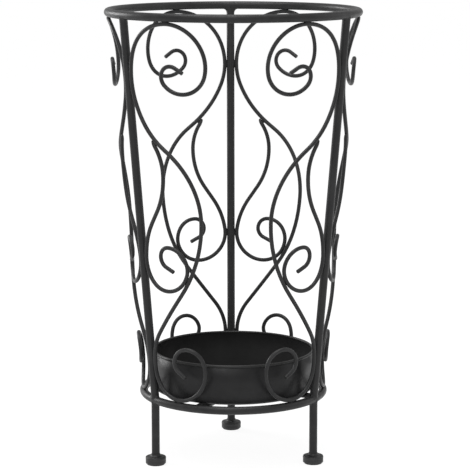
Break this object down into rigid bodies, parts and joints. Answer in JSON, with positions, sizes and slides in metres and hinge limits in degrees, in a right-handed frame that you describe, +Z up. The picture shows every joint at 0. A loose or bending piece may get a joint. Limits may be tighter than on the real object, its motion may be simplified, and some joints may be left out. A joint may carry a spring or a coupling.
{
  "type": "umbrella stand",
  "caption": "Open round umbrella stand of bent rod: tapering basket of scrolled wire between two rings on short legs, with a lift-out drip pan.",
  "frame": {"origin": "on the floor under the centre of the stand, midway between the rings' sides", "axes": "+Z up along the stand's axis; -Y is the front, between two legs; the third leg is at the rear, on +Y; +X to the right seen from the front"},
  "size_m": [0.26, 0.26, 0.46],
  "materials": {
    "frame_coat": "satin charcoal powder coat",
    "scroll_coat": "satin charcoal powder coat",
    "foot_moulding": "moulded, matte",
    "pan_coat": "satin charcoal powder coat over pressed sheet",
    "glide_rubber": "matte"
  },
  "bodies": {
    "frame": {"top_ring": "frame_coat", "base_ring": "frame_coat", "upright_rear": "frame_coat", "leg_rear": "frame_coat", "foot_rear": "foot_moulding", "glide_rear": "glide_rubber", "long_scroll_rear_clockwise": "scroll_coat", "short_scroll_rear_clockwise": "scroll_coat", "long_scroll_rear_anticlockwise": "scroll_coat", "short_scroll_rear_anticlockwise": "scroll_coat", "upright_left": "frame_coat", "leg_left": "frame_coat", "foot_left": "foot_moulding", "glide_left": "glide_rubber", "long_scroll_left_clockwise": "scroll_coat", "short_scroll_left_clockwise": "scroll_coat", "long_scroll_left_anticlockwise": "scroll_coat", "short_scroll_left_anticlockwise": "scroll_coat", "upright_right": "frame_coat", "leg_right": "frame_coat", "foot_right": "foot_moulding", "glide_right": "glide_rubber", "long_scroll_right_clockwise": "scroll_coat", "short_scroll_right_clockwise": "scroll_coat", "long_scroll_right_anticlockwise": "scroll_coat", "short_scroll_right_anticlockwise": "scroll_coat", "cross_bar_lower": "frame_coat", "cross_bar_upper": "frame_coat"},
    "pan": {"drip_pan": "pan_coat"}
  },
  "joints": [
    {"name": "pan_lift", "type": "slide", "parent": "frame", "child": "pan", "axis": [0, 0, 1], "range_m": [0, 0.42]}
  ]
}
